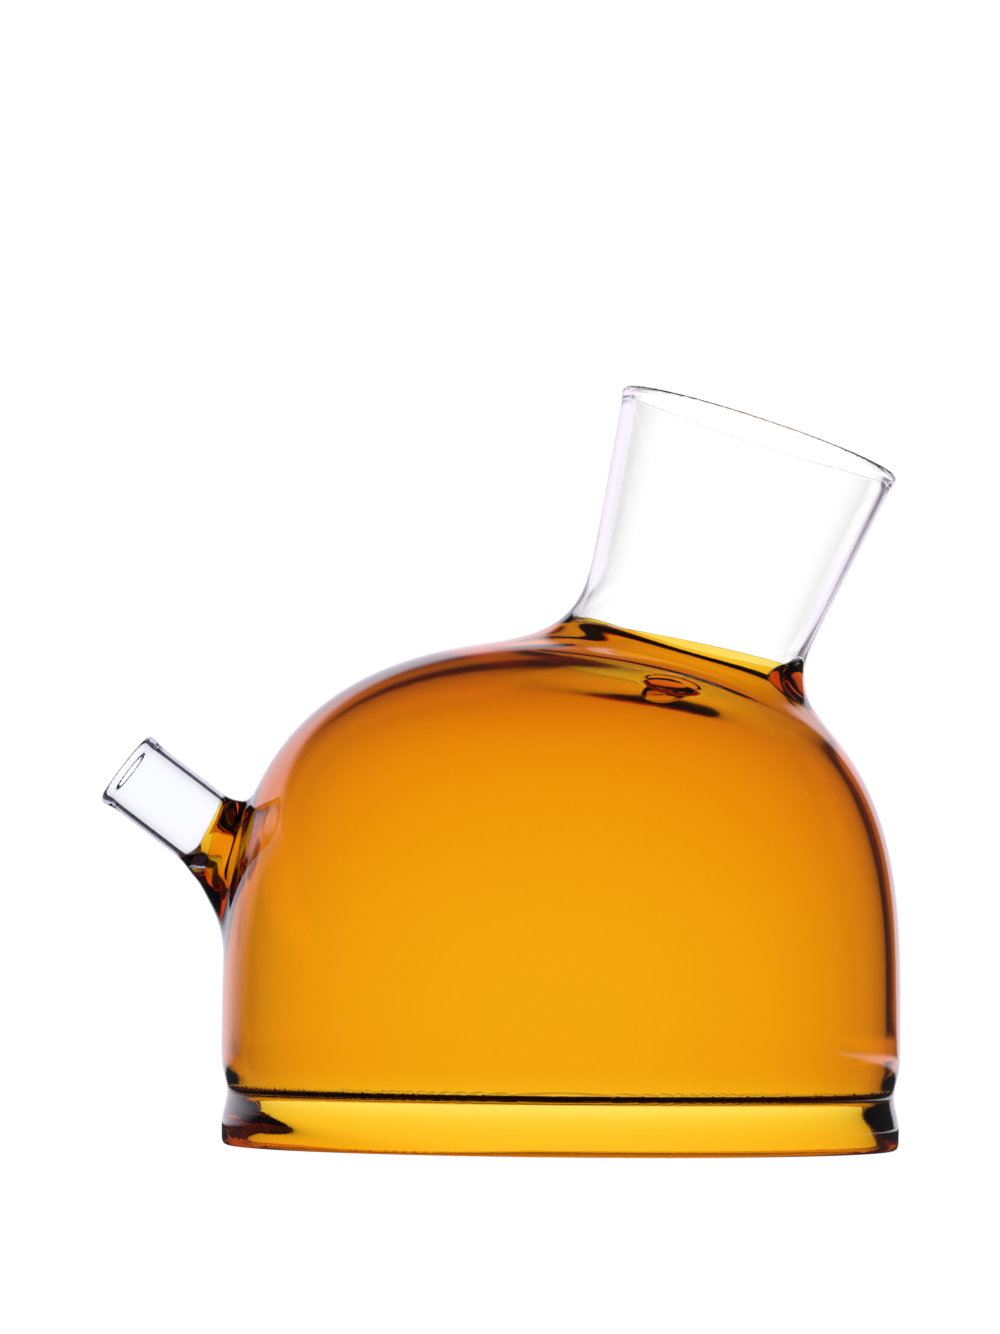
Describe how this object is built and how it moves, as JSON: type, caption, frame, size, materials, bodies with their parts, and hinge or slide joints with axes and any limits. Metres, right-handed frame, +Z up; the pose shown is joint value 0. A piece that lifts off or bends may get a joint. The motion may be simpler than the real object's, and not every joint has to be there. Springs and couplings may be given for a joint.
{
  "type": "amber pouring flask",
  "caption": "Squat domed amber glass flask with a flat foot, a short clear pouring tube and a wide flared clear neck that leans back.",
  "frame": {"origin": "on the body's axis, in the plane that the foot stands on, which is the mouth of the recess under the floor", "axes": "+Z up along the body's axis; -X towards the pouring tube; +X the way the neck leans; Y across the flask's plane of symmetry"},
  "size_m": [0.1183, 0.1, 0.1125],
  "materials": {
    "amber_body": "clear, fire-polished, coloured through",
    "amber_base": "clear, fire-polished, coloured through, thinner and so paler",
    "amber_collar": "clear, fire-polished, thick and so darker",
    "clear_neck": "colourless, fire-polished",
    "clear_spout": "colourless with a faint lavender cast, fire-polished"
  },
  "bodies": {
    "root": {"body_shell": "amber_body", "floor_disc": "amber_base", "floor_seal": "amber_base", "foot_ring": "amber_base", "neck_collar": "amber_collar", "neck_foot": "clear_neck", "neck_tube": "clear_neck", "spout_socket": "amber_collar", "spout_tube": "clear_spout"}
  },
  "joints": []
}
